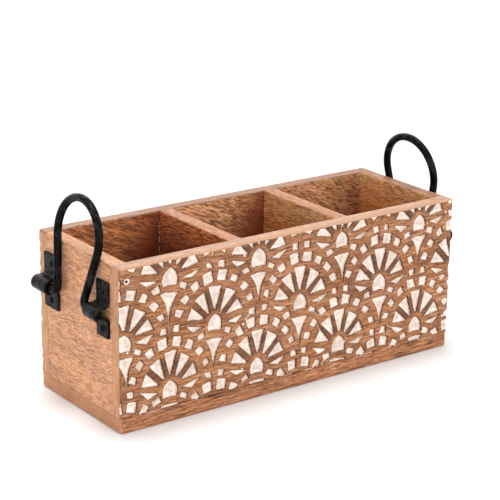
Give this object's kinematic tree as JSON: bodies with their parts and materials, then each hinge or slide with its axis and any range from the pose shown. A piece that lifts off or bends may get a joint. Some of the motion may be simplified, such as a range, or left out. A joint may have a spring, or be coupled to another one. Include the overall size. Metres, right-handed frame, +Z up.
{
  "type": "utensil caddy",
  "caption": "Open-topped carved wooden caddy with side-by-side compartments for utensils and an iron bail handle that swings at each end.",
  "frame": {"origin": "centre of the box's underside, on the surface it stands on", "axes": "+X to the right along the box's length, -Y to the front, +Z up"},
  "size_m": [0.3068, 0.102, 0.1506],
  "materials": {
    "mango_wood": "sanded mango wood, unvarnished",
    "carved_wood": "mango wood, carved and rubbed with white wash in the cuts",
    "black_iron": "matte black iron",
    "brad_steel": "plain steel wire"
  },
  "bodies": {
    "box": {"base_board": "mango_wood", "front_panel": "carved_wood", "back_panel": "carved_wood", "left_end_panel": "mango_wood", "right_end_panel": "mango_wood", "left_divider": "mango_wood", "right_divider": "mango_wood", "left_front_strap": "black_iron", "left_back_strap": "black_iron", "right_front_strap": "black_iron", "right_back_strap": "black_iron", "left_front_strap_nails": "black_iron", "left_back_strap_nails": "black_iron", "right_front_strap_nails": "black_iron", "right_back_strap_nails": "black_iron", "front_corner_brads": "brad_steel", "front_divider_brads": "brad_steel", "back_corner_brads": "brad_steel", "back_divider_brads": "brad_steel", "base_wall_nails": "brad_steel", "base_end_nails": "brad_steel", "base_divider_nails": "brad_steel"},
    "left_bail": {"left_bail_handle": "black_iron"},
    "right_bail": {"right_bail_handle": "black_iron"}
  },
  "joints": [
    {"name": "left_bail_swing", "type": "hinge", "parent": "box", "child": "left_bail", "pos_m": [-0.1483, 0, 0.0803], "axis": [0, -1, 0], "range_deg": [0, 190]},
    {"name": "right_bail_swing", "type": "hinge", "parent": "box", "child": "right_bail", "pos_m": [0.1483, 0, 0.0803], "axis": [0, 1, 0], "range_deg": [0, 190]}
  ]
}
